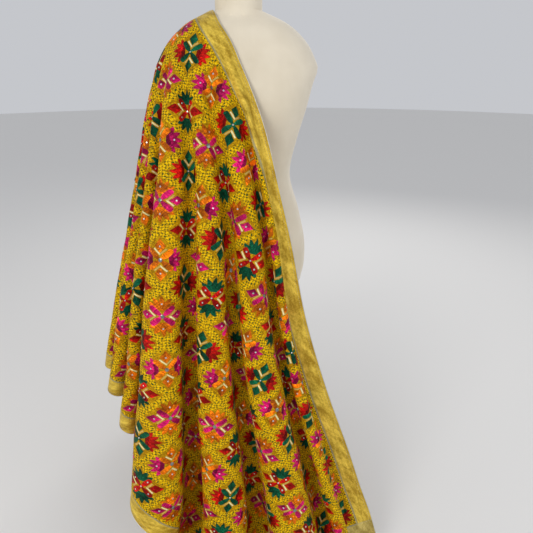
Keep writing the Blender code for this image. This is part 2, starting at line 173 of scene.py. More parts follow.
# Camera, from the photograph
CAMERA_PLACE = (0.063, -1.172, 1.256)
CAMERA_PITCH = 24.2
FOCAL_PIXELS = 450
FRAME_PIXELS = 533
SENSOR = 36.0


# Drape


def column(table, names, name):
    return np.array([row[names.index(name)] for row in table], float)


def hermite(places, knots, values):
    """A smooth curve through the knots, with the slope of its neighbours at each."""
    slopes = np.gradient(values, knots)
    index = np.clip(np.searchsorted(knots, places) - 1, 0, len(knots) - 2)
    width = knots[index + 1] - knots[index]
    u = (places - knots[index]) / width
    start = (1 + 2 * u) * (1 - u) ** 2 * values[index] + u * (1 - u) ** 2 * width * slopes[index]
    end = u * u * (3 - 2 * u) * values[index + 1] + u * u * (u - 1) * width * slopes[index + 1]
    return start + end


def smoothstep(value, low, high):
    u = np.clip((value - low) / (high - low), 0.0, 1.0)
    return u * u * (3 - 2 * u)


def distance_along(points):
    steps = np.linalg.norm(np.diff(points, axis=0), axis=-1)
    return np.concatenate([np.zeros((1,) + steps.shape[1:]), np.cumsum(steps, axis=0)])


def evenly_spaced(points, count):
    along = distance_along(points)
    places = np.linspace(0.0, along[-1], count)
    return np.stack([np.interp(places, along, points[:, axis]) for axis in range(points.shape[1])], axis=1)


def loop_levels():
    """The columns of LOOPS at LEVEL_COUNT levels, evenly spaced down the front."""
    values = {name: column(LOOPS, LOOP_COLUMNS, name) for name in LOOP_COLUMNS}
    knots = np.cumsum(np.hypot(np.diff(values["height"], prepend=values["height"][0]),
                               np.diff(values["front"], prepend=0.0)))
    places = np.linspace(0.0, knots[-1], LEVEL_COUNT)
    levels = {name: hermite(places, knots, values[name]) for name in LOOP_COLUMNS}
    for name in ("height", "front", "back"):
        levels[name] = np.maximum(levels[name], 0.0)
    return levels


def half_loop(edge, reach_y, side):
    """Straight from the free edge, then a superellipse quarter round to the side (y = 0)."""
    flat = min(edge, LOOP_FLAT)
    angle = np.linspace(0.0, np.pi / 2, 200)
    corner_x = flat - (side + flat) * np.sin(angle) ** (2 / LOOP_ROUNDNESS)
    corner_y = reach_y * np.cos(angle) ** (2 / LOOP_ROUNDNESS)
    run = np.linspace(edge, flat, 40, endpoint=False)
    x = np.concatenate([run, corner_x])
    y = np.concatenate([np.full(len(run), reach_y), corner_y])
    return evenly_spaced(np.stack([x, y], axis=1), HALF_LOOP_COUNT)


def smooth_surface(reaches):
    """Level loops stacked, then each line down them read off at equal distances from the crown."""
    levels = loop_levels()
    surface = np.zeros((LEVEL_COUNT, 2 * HALF_LOOP_COUNT - 1, 3))
    for number in range(LEVEL_COUNT):
        front = half_loop(levels["front_edge"][number], levels["front"][number], levels["side"][number])
        back = half_loop(levels["back_edge"][number], levels["back"][number], levels["side"][number])
        surface[number, :, :2] = np.concatenate([front * (1, -1), back[-2::-1]])
        surface[number, :, 2] = levels["height"][number]
    along = distance_along(surface)
    result = np.zeros((len(reaches), surface.shape[1], 3))
    for place in range(surface.shape[1]):
        for axis in range(3):
            result[:, place, axis] = np.interp(reaches, along[:, place], surface[:, place, axis])
    return result


def fold_course(turns, reach, strength):
    """Running sums of the cosine and sine of the heading, which is a sine within each fold."""
    heading = np.zeros(len(turns))
    for row in FOLDS:
        fold = dict(zip(FOLD_COLUMNS, row))
        off = (turns - fold["turn"]) / fold["half"]
        inside = np.abs(off) < 1
        phase = np.sign(off[inside]) * np.abs(off[inside]) ** fold["flatness"]
        steep = min(FOLD_MOST, fold["fullness"] * strength) * smoothstep(reach, *FOLD_START)
        heading[inside] = steep * np.sin(np.pi * (phase + 1))
    step = np.radians(turns[1] - turns[0]) * reach
    forward = np.concatenate([[0.0], np.cumsum(np.cos((heading[1:] + heading[:-1]) / 2))]) * step
    outward = np.concatenate([[0.0], np.cumsum(np.sin((heading[1:] + heading[:-1]) / 2))]) * step
    return forward, outward


def fitted_course(turns, reach, length):
    """The folds' strength is the one with which the run of cloth just spans the length."""
    low, high = 0.0, 2.4
    for _ in range(22):
        middle = (low + high) / 2
        forward, outward = fold_course(turns, reach, middle)
        low, high = (middle, high) if forward[-1] > length else (low, middle)
    forward, outward = fold_course(turns, reach, (low + high) / 2)
    return forward * (length / forward[-1]), np.maximum(outward, 0.0)


def draped_surface():
    """Reaches, turns and the inner face of the folded cloth at every pair of the two."""
    longest = PITCH * np.hypot(FIELD_ALONG[1] + END_BAND - CROWN_ALONG,
                               FIELD_ACROSS[1] + SIDE_BAND - CROWN_ACROSS)
    reaches = np.arange(REACH_STEP, longest + 3 * REACH_STEP, REACH_STEP)
    turns = np.arange(0.0, 180.0 + TURN_STEP / 2, TURN_STEP)
    smooth = smooth_surface(reaches)
    outward_way = np.cross(np.gradient(smooth, axis=1), np.gradient(smooth, axis=0))
    outward_way /= np.maximum(np.linalg.norm(outward_way, axis=2, keepdims=True), 1e-9)
    stretches = (turns <= FRONT_TURN, (turns >= FRONT_TURN) & (turns <= SIDE_TURN), turns >= SIDE_TURN)
    shares = np.interp(reaches, column(FRONT_SHARES, SHARE_COLUMNS, "reach"),
                       column(FRONT_SHARES, SHARE_COLUMNS, "share"))
    draped = np.zeros((len(reaches), len(turns), 3))
    for row, reach in enumerate(reaches):
        round_loop = distance_along(smooth[row])
        side_place = round_loop[HALF_LOOP_COUNT - 1]
        ends = (0.0, shares[row] * side_place, side_place, round_loop[-1])
        for stretch, start, end in zip(stretches, ends[:-1], ends[1:]):
            forward, outward = fitted_course(turns[stretch], reach, end - start)
            for axis in range(3):
                way = np.interp(start + forward, round_loop, outward_way[row, :, axis])
                base = np.interp(start + forward, round_loop, smooth[row, :, axis])
                draped[row, stretch, axis] = base + outward * way
    return reaches, turns, draped


def crease_height(along, across):
    """Each crease is a soft ridge: a bell across its line, fading to nothing at its ends."""
    height = np.zeros(np.shape(along))
    for row in CREASES:
        crease = dict(zip(CREASE_COLUMNS, row))
        way = np.radians(crease["way"])
        da, dc = along - crease["along"], across - crease["across"]
        down = da * np.cos(way) + dc * np.sin(way)
        off = dc * np.cos(way) - da * np.sin(way) + 0.08 * np.sin(2.2 * down)
        fade = np.clip(1 - (2 * down / crease["length"]) ** 2, 0.0, 1.0) ** 2
        height = height + PITCH * crease["height"] * fade * np.exp(-(off / crease["width"]) ** 2)
    down_waves = np.sin(3.1 * along + 1.3 * np.sin(1.7 * across))
    cross_waves = np.sin(2.7 * across + 1.1 * np.sin(1.9 * along))
    return height + RIPPLE * (1 + down_waves * cross_waves)


class Drape:
    """Finds points and outward ways of the cloth from places counted in motifs."""

    def __init__(self):
        self.reaches, self.turns, self.inner = draped_surface()
        normals = np.cross(np.gradient(self.inner, axis=1), np.gradient(self.inner, axis=0))
        self.normals = normals / np.maximum(np.linalg.norm(normals, axis=2, keepdims=True), 1e-12)

    def sample(self, grid, reach, turn):
        row = np.clip((reach - self.reaches[0]) / REACH_STEP, 0, len(self.reaches) - 1.001)
        place = np.clip(turn / TURN_STEP, 0, len(self.turns) - 1.001)
        r, p = row.astype(int), place.astype(int)
        u, v = (row - r)[..., None], (place - p)[..., None]
        near = grid[r, p] * (1 - v) + grid[r, p + 1] * v
        far = grid[r + 1, p] * (1 - v) + grid[r + 1, p + 1] * v
        return near * (1 - u) + far * u

    def place(self, along, across, lift=0.0):
        """Points lift above the inner face, and the outward way at each."""
        along, across = np.broadcast_arrays(np.asarray(along, float), np.asarray(across, float))
        reach = PITCH * np.hypot(along - CROWN_ALONG, across - CROWN_ACROSS)
        turn = np.degrees(np.arctan2(across - CROWN_ACROSS, along - CROWN_ALONG))
        points = self.sample(self.inner, reach, turn)
        normals = self.sample(self.normals, reach, turn)
        normals /= np.maximum(np.linalg.norm(normals, axis=-1, keepdims=True), 1e-9)
        loose = smoothstep(reach, 0.10, 0.40) * smoothstep(points[..., 2], 0.02, 0.20)
        rise = crease_height(along, across) * loose + lift
        return points + rise[..., None] * normals, normals


# Meshes


def add_piece(name, mesh, finish):
    mesh.materials.append(finish)
    piece = bpy.data.objects.new(name, mesh)
    bpy.context.scene.collection.objects.link(piece)
    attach(piece, "root")
    return piece


def mesh_piece(name, points, faces, finish, places=None, sharp=None):
    """A mesh from whole arrays. places gives each point's (along, across) for the UV map."""
    faces = np.asarray(faces)
    mesh = bpy.data.meshes.new(name)
    mesh.vertices.add(len(points))
    mesh.vertices.foreach_set("co", np.asarray(points, np.float32).ravel())
    mesh.loops.add(faces.size)
    mesh.loops.foreach_set("vertex_index", faces.astype(np.int32).ravel())
    mesh.polygons.add(len(faces))
    mesh.polygons.foreach_set("loop_start", np.arange(0, faces.size, faces.shape[1], dtype=np.int32))
    mesh.update(calc_edges=True)
    mesh.validate()
    if places is not None:
        layer = mesh.uv_layers.new(name="cloth")
        layer.uv.foreach_set("vector", np.asarray(places, np.float32)[faces.ravel()].ravel())
    mesh.shade_smooth()
    if sharp is not None:
        mesh.set_sharp_from_angle(angle=np.radians(sharp))
    return add_piece(name, mesh, finish)


def wall(name, drape, along, across, finish):
    """A closed wall over a grid of cloth places: inner face, outer face and rim."""
    along, across = np.broadcast_arrays(along, across)
    inner, _ = drape.place(along, across)
    outer, _ = drape.place(along, across, WALL)
    rows, columns = along.shape
    count = rows * columns
    index = np.arange(count).reshape(rows, columns)
    face = np.stack([index[:-1, :-1], index[1:, :-1], index[1:, 1:], index[:-1, 1:]], axis=-1)
    face = face.reshape(-1, 4)
    border = np.concatenate([index[0, :], index[1:, -1], index[-1, -2::-1], index[-2:0:-1, 0]])
    after = np.roll(border, -1)
    rim = np.stack([border, after, after + count, border + count], axis=1)
    faces = np.concatenate([face + count, face[:, ::-1], rim])
    points = np.concatenate([inner.reshape(-1, 3), outer.reshape(-1, 3)])
    places = np.stack([along.ravel(), across.ravel()], axis=1)
    piece = mesh_piece(name, points, faces, finish, np.concatenate([places, places]), WALL_SHARP)
    turn_outward(piece)
    return piece


def turn_outward(piece):
    """Turns a closed mesh's faces round if its signed volume is negative."""
    mesh = piece.data
    mesh.calc_loop_triangles()
    points = np.empty(len(mesh.vertices) * 3)
    mesh.vertices.foreach_get("co", points)
    corners = np.empty(len(mesh.loop_triangles) * 3, np.int32)
    mesh.loop_triangles.foreach_get("vertices", corners)
    if np.linalg.det(points.reshape(-1, 3)[corners.reshape(-1, 3)]).sum() < 0:
        mesh.flip_normals()


def tube(name, path, radius, sides, finish, closed=False):
    """A ring of the given radius carried along a path, square to the path's direction."""
    ahead = np.gradient(path, axis=0)
    if closed:
        ahead = np.roll(path, -1, axis=0) - np.roll(path, 1, axis=0)
    ahead /= np.maximum(np.linalg.norm(ahead, axis=1, keepdims=True), 1e-9)
    side = np.cross(ahead, (0.31, 0.17, 0.94))
    side /= np.maximum(np.linalg.norm(side, axis=1, keepdims=True), 1e-9)
    up = np.cross(side, ahead)
    angle = np.arange(sides) * 2 * np.pi / sides
    ring = side[:, None] * np.cos(angle)[None, :, None] + up[:, None] * np.sin(angle)[None, :, None]
    points = path[:, None] + radius * ring
    count = len(path)
    index = np.arange(count * sides).reshape(count, sides)
    after = np.roll(index, -1, axis=1)
    last = count if closed else count - 1
    onward, onward_after = np.roll(index, -1, axis=0), np.roll(after, -1, axis=0)
    faces = np.stack([index[:last], after[:last], onward_after[:last], onward[:last]], axis=-1)
    piece = mesh_piece(name, points.reshape(-1, 3), faces.reshape(-1, 4), finish)
    turn_outward(piece)
    return piece


def lofted(name, rings, finish):
    """Rings of points joined by quads, each end closed by a fan of triangles to its middle."""
    count, size = rings.shape[:2]
    middles = np.stack([rings[0].mean(axis=0), rings[-1].mean(axis=0)])
    points = np.concatenate([rings.reshape(-1, 3), middles])
    index = np.arange(count * size).reshape(count, size)
    after = np.roll(index, -1, axis=1)
    sides = np.stack([index[:-1], after[:-1], after[1:], index[1:]], axis=-1).reshape(-1, 4)
    faces = [tuple(face) for face in sides]
    faces += [(count * size, after[0, k], index[0, k]) for k in range(size)]
    faces += [(count * size + 1, index[-1, k], after[-1, k]) for k in range(size)]
    mesh = bpy.data.meshes.new(name)
    mesh.from_pydata(points.tolist(), [], [tuple(int(v) for v in face) for face in faces])
    mesh.shade_smooth()
    mesh.set_sharp_from_angle(angle=np.radians(LOFT_SHARP))
    return add_piece(name, mesh, finish)


def turned(name, profile, finish, slot, count=96):
    """(radius, height) pairs turned about the form's axis, bottom to top."""
    angle = np.arange(count) * 2 * np.pi / count
    radius, height = np.array(profile).T
    rings = np.stack(np.broadcast_arrays(radius[:, None] * np.cos(angle), radius[:, None] * np.sin(angle),
                                         height[:, None]), axis=2)
    return lofted(name, rings, finish)


# Materials


class Wiring:
    """Short ways to add and join the nodes of one tree."""

    def __init__(self, tree):
        self.tree = tree

    def node(self, kind, **settings):
        made = self.tree.nodes.new(kind)
        for name, value in settings.items():
            setattr(made, name, value)
        return made

    def put(self, socket, value):
        if isinstance(value, bpy.types.NodeSocket):
            self.tree.links.new(value, socket)
        else:
            socket.default_value = value

    def calc(self, operation, *values):
        made = self.node("ShaderNodeMath", operation=operation)
        for socket, value in zip(made.inputs, values):
            self.put(socket, value)
        return made.outputs[0]

    def both(self, first, *others):
        for other in others:
            first = self.calc("MULTIPLY", first, other)
        return first

    def centred(self, value, size):
        """A value from 0 to 1 spread evenly about zero, over size in all."""
        return self.calc("MULTIPLY_ADD", value, size, -size / 2)

    def under(self, value, limit):
        return self.calc("LESS_THAN", value, limit)

    def over(self, value, limit):
        return self.calc("GREATER_THAN", value, limit)

    def mix(self, share, low, high):
        made = self.node("ShaderNodeMix", data_type="RGBA")
        for socket, value in ((made.inputs[0], share), (made.inputs[6], low), (made.inputs[7], high)):
            if isinstance(value, tuple):
                value = (*value, 1.0)
            self.put(socket, value)
        return made.outputs[2]

    def tone(self, colour, factor):
        made = self.node("ShaderNodeVectorMath", operation="SCALE")
        self.put(made.inputs[0], colour)
        self.put(made.inputs[3], factor)
        return made.outputs[0]

    def noise(self, vector, scale, detail=3.0, roughness=0.55):
        made = self.node("ShaderNodeTexNoise")
        self.put(made.inputs["Vector"], vector)
        made.inputs["Scale"].default_value = scale
        made.inputs["Detail"].default_value = detail
        made.inputs["Roughness"].default_value = roughness
        return made.outputs["Fac"]

    def scaled(self, vector, scale):
        made = self.node("ShaderNodeMapping")
        self.put(made.inputs["Vector"], vector)
        made.inputs["Scale"].default_value = scale
        return made.outputs[0]

    def span(self, value, low, high, to_low, to_high):
        made = self.node("ShaderNodeMapRange")
        for socket, given in zip(made.inputs[:5], (value, low, high, to_low, to_high)):
            self.put(socket, given)
        return made.outputs[0]

    def place(self, kind):
        return self.node("ShaderNodeTexCoord").outputs[kind]

    def bump(self, height, strength, distance):
        made = self.node("ShaderNodeBump")
        made.inputs["Strength"].default_value = strength
        made.inputs["Distance"].default_value = distance
        self.put(made.inputs["Height"], height)
        return made.outputs[0]


def material(name):
    made = bpy.data.materials.new(name)
    made.use_nodes = True
    surface = made.node_tree.nodes["Principled BSDF"]
    return made, Wiring(made.node_tree), surface


GROUND = (0.44, 0.215, 0.002)
GROUND_BRIGHT = (0.84, 0.475, 0.003)
GROUND_DARK = (0.15, 0.088, 0.002)
GREEN = (0.002, 0.082, 0.036)
RED = (0.40, 0.006, 0.003)
MAGENTA = (0.52, 0.009, 0.110)
ORANGE = (0.74, 0.165, 0.003)
CREAM = (0.92, 0.79, 0.40)
# painted shade: a darker copy of the cream floss, laid on one bar of each vee by its thread direction
CREAM_SHADED = (0.66, 0.42, 0.11)
CHECK_GREEN = (0.010, 0.075, 0.014)
CHECK_LIME = (0.95, 0.62, 0.004)

# The motif's parts, in motifs
ARM_LENGTH = 0.345
ARM_HALF = 0.062
VEE = (0.080, 0.118, 0.285)   # the cream bar's inner side, outer side and end
DIAMOND = (0.175, 0.335, 0.520, 0.118)    # where it starts, is widest and ends, and half its width
LEAF_START = 0.160       # how far from the motif's middle the leaf's straight inner edge lies
LEAF_REACH = (0.225, 0.375)   # from the middle of that edge to the notches and to the middle tip
LEAF_LOBE = 0.5236       # angle from one lobe to the next, in radians
LEAF_BASE = 0.095        # width of the strip along the straight edge that is painted darker or lighter than the lobes, as sheen
STEM_HALF = 0.0085       # half the width of the thin stem that runs on from a diamond's tip
STEM_END = 0.62
NET_START = 0.415        # how far from the motif's middle the net begins
NET_COUNT = 20           # checks to one motif
NET_UNEVEN = 3.2         # how far the net strays, in checks
NET_SPECK = 2.6
CHECK_SIZES = (0.42, 0.52)    # of the green checks and the lime ones
FLOSS_RATE = 420.0       # turn of the thread ridges' sine over one motif, in radians
GROUND_RATE = 360.0
FIRST_MOTIF = 1.0        # how far down the cloth the row of motifs numbered 0 lies

# Tissue. The edges are where the selvedge strip ends and the turned hem begins, in motifs
# the dark and the bright colour of each tissue; the crinkles' painted glint runs from one to the other
TISSUE_SHADES = ((0.42, 0.255, 0.012), (0.97, 0.70, 0.090))
END_SHADES = ((0.33, 0.235, 0.045), (0.76, 0.60, 0.18))
SELVEDGE_GREY = (0.30, 0.28, 0.16)
SELVEDGE_EDGE = (0.035, 0.060)
HEM_EDGE = (0.425, 0.440)


def new_group(name, **outputs):
    """An empty group: one vector input, Place, and outputs named with their kind of socket."""
    tree = bpy.data.node_groups.new(name, "ShaderNodeTree")
    tree.interface.new_socket("Place", in_out="INPUT", socket_type="NodeSocketVector")
    for label, kind in outputs.items():
        tree.interface.new_socket(label, in_out="OUTPUT", socket_type="NodeSocket" + kind)
    return tree


def laid_on_cloth(w, group):
    """The group placed in a material and fed the cloth's own map."""
    work = w.node("ShaderNodeGroup")
    work.node_tree = group
    w.put(work.inputs[0], w.node("ShaderNodeUVMap", uv_map="cloth").outputs[0])
    return work.outputs


def motif_group():
    """The embroidery: a lattice of crosses, diamonds and leaves in a net of checks.

    Each motif has its own square cell. Four arms lie along the grain. On one diagonal are
    two diamonds and on the other two leaves with toothed tips. Cream bars lie beside the
    arms, towards the diamonds, and a thin stem runs on from one tip in every second row.
    Colours change with the cell's row and file, odd or even.
    """
    tree = new_group("phulkari_motifs", Colour="Color", Height="Float", Figure="Float")
    w = Wiring(tree)
    cloth_place = w.node("NodeGroupInput").outputs[0]
    result = w.node("NodeGroupOutput")
    slide = w.node("ShaderNodeVectorMath", operation="SUBTRACT")
    w.put(slide.inputs[0], cloth_place)
    slide.inputs[1].default_value = (FIRST_MOTIF, 0.0, 0.0)
    given = slide.outputs[0]
    split = w.node("ShaderNodeSeparateXYZ")
    w.put(split.inputs[0], given)
    wander = w.centred(w.noise(given, 5.0), 0.030)
    u = w.calc("ADD", split.outputs[0], wander)
    v = w.calc("SUBTRACT", split.outputs[1], wander)
    row = w.calc("ROUND", u)
    file = w.calc("ROUND", v)
    x = w.calc("SUBTRACT", u, row)
    y = w.calc("SUBTRACT", v, file)
    odd_row = w.calc("FLOORED_MODULO", row, 2.0)
    odd_file = w.calc("FLOORED_MODULO", file, 2.0)
    way = w.calc("MULTIPLY_ADD", odd_file, -2.0, 1.0)
    y_way = w.calc("MULTIPLY", y, way)
    root_half = 0.70711
    d = w.calc("MULTIPLY", w.calc("ADD", x, y_way), root_half)
    e = w.calc("MULTIPLY", w.calc("SUBTRACT", x, y_way), root_half)
    d_off, e_off = w.calc("ABSOLUTE", d), w.calc("ABSOLUTE", e)
    x_off, y_off = w.calc("ABSOLUTE", x), w.calc("ABSOLUTE", y)
    longer, shorter = w.calc("MAXIMUM", x_off, y_off), w.calc("MINIMUM", x_off, y_off)
    along_x = w.over(x_off, y_off)

    arm_half = w.calc("MINIMUM", ARM_HALF, w.calc("MULTIPLY_ADD", longer, 0.32, 0.018))
    arm = w.both(w.under(shorter, arm_half), w.under(longer, ARM_LENGTH),
                 w.under(w.calc("ADD", longer, shorter), ARM_LENGTH + 0.032))
    vee = w.both(w.over(shorter, VEE[0]), w.under(shorter, VEE[1]), w.under(longer, VEE[2]),
                 w.over(d_off, e_off))
    start, wide, tip, half = DIAMOND
    diamond_half = w.calc("MINIMUM",
                          w.calc("MULTIPLY", w.calc("SUBTRACT", d_off, start), half / (wide - start)),
                          w.calc("MULTIPLY", w.calc("SUBTRACT", tip, d_off), half / (tip - wide)))
    diamond = w.under(e_off, diamond_half)
    rise = w.calc("SUBTRACT", e_off, LEAF_START)
    fan = w.calc("ARCTAN2", d_off, rise)
    lobe_place = w.calc("DIVIDE", fan, LEAF_LOBE)
    lobe = w.calc("MULTIPLY_ADD", w.calc("PINGPONG", lobe_place, 0.5), -2.0, 1.0)
    notch, tip_reach = LEAF_REACH
    lobe_reach = w.calc("MULTIPLY_ADD", lobe_place, -0.016, tip_reach - notch)
    leaf_reach = w.calc("MULTIPLY_ADD", lobe, lobe_reach, notch)
    foot_square = w.calc("ADD", w.calc("MULTIPLY", rise, rise), w.calc("MULTIPLY", d_off, d_off))
    leaf = w.both(w.under(w.calc("SQRT", foot_square), leaf_reach), w.over(rise, 0.0),
                  w.over(e_off, w.calc("MULTIPLY", d_off, 0.72)))
    stem_off = w.calc("ABSOLUTE", w.calc("MULTIPLY_ADD", w.calc("SINE", w.calc("MULTIPLY", d, 9.0)), 0.010, e))
    stem = w.both(w.under(stem_off, STEM_HALF), w.over(d, tip - 0.02), w.under(d, STEM_END),
                  w.calc("SUBTRACT", 1.0, odd_row))

    # Net of checks along the edges of the cells
    net_u = w.calc("MULTIPLY_ADD", u, NET_COUNT, w.centred(w.noise(given, 8.0, 2.0), NET_UNEVEN))
    net_v = w.calc("MULTIPLY_ADD", v, NET_COUNT, w.centred(w.noise(given, 7.0, 2.0), NET_UNEVEN))
    cell_u, cell_v = w.calc("FLOOR", net_u), w.calc("FLOOR", net_v)
    off_u = w.calc("ABSOLUTE", w.calc("SUBTRACT", w.calc("SUBTRACT", net_u, cell_u), 0.5))
    off_v = w.calc("ABSOLUTE", w.calc("SUBTRACT", w.calc("SUBTRACT", net_v, cell_v), 0.5))
    dark_cell = w.calc("FLOORED_MODULO", w.calc("ADD", cell_u, cell_v), 2.0)
    spot = w.calc("ADD", w.calc("ADD", off_u, off_v), w.centred(w.noise(given, 33.0, 2.0), NET_SPECK))
    net = w.over(w.calc("ADD", longer, w.centred(w.noise(given, 9.0, 1.0), 0.10)), NET_START)
    dark_check = w.both(net, dark_cell, w.under(spot, CHECK_SIZES[0]))
    lime_check = w.both(net, w.calc("SUBTRACT", 1.0, dark_cell), w.under(spot, CHECK_SIZES[1]))

    # Colours, with the floss's sheen painted into them: lighter and darker by thread direction, thread streaks
    # and glints
    soft = w.noise(given, 7.0, 4.0)
    fine = w.noise(w.scaled(given, (34.0, 8.0, 1.0)), 1.0, 3.0, 0.7)
    cross_fine = w.noise(w.scaled(given, (8.0, 34.0, 1.0)), 1.0, 3.0, 0.7)
    streak = w.calc("MULTIPLY_ADD", along_x, w.calc("SUBTRACT", fine, cross_fine), cross_fine)
    bright_share = w.calc("MULTIPLY_ADD", net, 0.45, w.span(soft, 0.42, 0.64, 0.0, 0.55))
    ground = w.mix(bright_share, GROUND, GROUND_BRIGHT)
    ground = w.mix(w.span(streak, 0.46, 0.66, 0.0, 0.9), ground, GROUND_DARK)
    flecks = w.noise(given, 24.0, 3.0, 0.7)
    dark_flecks = w.both(w.span(flecks, 0.54, 0.66, 0.0, 0.60), w.calc("MULTIPLY_ADD", net, -0.7, 1.0))
    ground = w.mix(dark_flecks, ground, GROUND_DARK)
    ground = w.mix(w.span(flecks, 0.47, 0.36, 0.0, 0.85), ground, GROUND_BRIGHT)
    cross_colour = w.mix(odd_file, w.mix(odd_row, GREEN, ORANGE), w.mix(odd_row, MAGENTA, RED))
    leaf_colour = w.mix(odd_file, w.mix(odd_row, RED, MAGENTA), w.mix(odd_row, ORANGE, GREEN))
    # painted glints: bright patches on the floss
    lit_floss = w.span(w.noise(given, 11.0, 1.0), 0.58, 0.66, 1.0, 1.75)
    # painted sheen of the floss: thread streaks, glints and patches, times a slow random darkening from motif
    # to motif
    sheen = w.both(w.span(streak, 0.34, 0.66, 0.45, 1.60), lit_floss,
                   w.span(w.noise(given, 4.3, 2.0), 0.36, 0.64, 0.66, 1.25),
                   w.span(w.noise(given, 1.9, 1.0), 0.40, 0.60, 0.62, 1.12))
    # painted sheen: arms along one axis darker, the arms across it lighter
    arm_sheen = w.both(sheen, w.calc("MULTIPLY_ADD", along_x, -0.52, 1.28))
    # painted sheen: one half of each diamond lighter than the other
    diamond_sheen = w.both(sheen, w.calc("MULTIPLY_ADD", w.over(e, 0.0), 0.45, 0.72))
    # painted sheen: the leaf's base strip and its lobes lighter or darker by file, and painted shade darkening
    # the notches between lobes
    base_strip = w.under(w.calc("ADD", rise, w.centred(soft, 0.16)), LEAF_BASE)
    base_sheen = w.calc("MULTIPLY_ADD", odd_file, 0.95, -0.78)
    lobe_sheen = w.calc("MULTIPLY_ADD", odd_file, -0.35, 1.20)
    leaf_sheen = w.both(sheen, w.span(lobe, 0.0, 0.45, 0.55, 1.0),
                       w.calc("MULTIPLY_ADD", base_strip, base_sheen, lobe_sheen))
    colour = w.mix(lime_check, ground, CHECK_LIME)
    colour = w.mix(dark_check, colour, CHECK_GREEN)
    colour = w.mix(stem, colour, GREEN)
    # painted glints on the cream bars
    vee_glint = w.span(lit_floss, 1.0, 1.75, 0.92, 1.25)
    # painted shade: the bars along one axis take the darker copy of the cream floss
    colour = w.mix(vee, colour, w.tone(w.mix(along_x, CREAM_SHADED, CREAM), vee_glint))
    colour = w.mix(leaf, colour, w.tone(leaf_colour, leaf_sheen))
    colour = w.mix(diamond, colour, w.tone(cross_colour, diamond_sheen))
    colour = w.mix(arm, colour, w.tone(cross_colour, arm_sheen))

    # Height of the floss, with its threads
    figure = w.calc("MAXIMUM", w.calc("MAXIMUM", arm, diamond), w.calc("MAXIMUM", leaf, vee))
    thread_place = w.calc("MULTIPLY_ADD", arm, w.calc("SUBTRACT", longer, d), d)
    thread = w.calc("SINE", w.calc("MULTIPLY", thread_place, FLOSS_RATE))
    ground_thread = w.calc("SINE", w.calc("MULTIPLY", w.calc("ADD", u, v), GROUND_RATE))
    threads = w.calc("MULTIPLY_ADD", figure, w.calc("SUBTRACT", thread, ground_thread), ground_thread)
    raised = w.calc("MAXIMUM", figure, w.calc("MULTIPLY", w.calc("MAXIMUM", dark_check, lime_check), 0.6))
    height = w.calc("ADD", w.calc("MULTIPLY_ADD", threads, 0.16, raised), w.calc("MULTIPLY", streak, 0.5))
    w.put(result.inputs["Colour"], colour)
    w.put(result.inputs["Height"], height)
    w.put(result.inputs["Figure"], figure)
    return tree


def embroidered_cloth(motifs):
    made, w, surface = material("embroidered_cloth")
    work = laid_on_cloth(w, motifs)
    w.put(surface.inputs["Base Color"], work["Colour"])
    w.put(surface.inputs["Roughness"], w.span(work["Figure"], 0.0, 1.0, 0.66, 0.46))
    surface.inputs["Specular IOR Level"].default_value = 0.07
    w.put(surface.inputs["Normal"], w.bump(work["Height"], 0.7, 0.0009))
    return made


def crinkle_group():
    """Crinkled tissue: long uneven ridges and shorter ones across them, a grey selvedge
    strip along the field's seam and a turned hem along the outer edge. How far a place lies
    outside the field is the largest of its four overshoots."""
    tree = new_group("crinkled_tissue", Height="Float", Glint="Float", Selvedge="Float", Hem="Float")
    w = Wiring(tree)
    given = w.node("NodeGroupInput").outputs[0]
    result = w.node("NodeGroupOutput")
    split = w.node("ShaderNodeSeparateXYZ")
    w.put(split.inputs[0], given)
    u, v = split.outputs[0], split.outputs[1]
    past_ends, past_sides = (
        w.calc("MAXIMUM", w.calc("SUBTRACT", low, place), w.calc("SUBTRACT", place, high))
        for place, (low, high) in ((u, FIELD_ALONG), (v, FIELD_ACROSS)))
    outside = w.calc("MAXIMUM", past_ends, past_sides)
    turned = w.node("ShaderNodeMapping")
    w.put(turned.inputs["Vector"], given)
    turned.inputs["Rotation"].default_value = (0.0, 0.0, 0.5)
    long_ridges = w.noise(w.scaled(turned.outputs[0], (1.1, 3.4, 1.0)), 1.3, 4.0, 0.55)
    short_ridges = w.noise(w.scaled(given, (1.5, 7.0, 1.0)), 1.7, 3.0, 0.6)
    creases = w.noise(turned.outputs[0], 17.0, 5.0, 0.72)
    weave = w.noise(given, 160.0, 1.0)
    fine_height = w.calc("ADD", w.calc("MULTIPLY", short_ridges, 0.45), w.calc("MULTIPLY", creases, 0.42))
    height = w.calc("ADD", w.calc("MULTIPLY_ADD", weave, 0.06, long_ridges), fine_height)
    selvedge = w.span(outside, *SELVEDGE_EDGE, 1.0, 0.0)
    hem = w.span(outside, *HEM_EDGE, 0.0, 1.0)
    doubled = w.calc("MULTIPLY", w.calc("ADD", selvedge, hem), 0.10)
    fine_glint = w.calc("ADD", w.calc("MULTIPLY", short_ridges, 0.25), w.calc("MULTIPLY", creases, 0.30))
    w.put(result.inputs["Height"], w.calc("ADD", height, doubled))
    # painted glint: brighter on the ridges and creases, following the height
    w.put(result.inputs["Glint"], w.calc("ADD", w.calc("MULTIPLY", long_ridges, 0.45), fine_glint))
    w.put(result.inputs["Selvedge"], selvedge)
    w.put(result.inputs["Hem"], hem)
    return tree


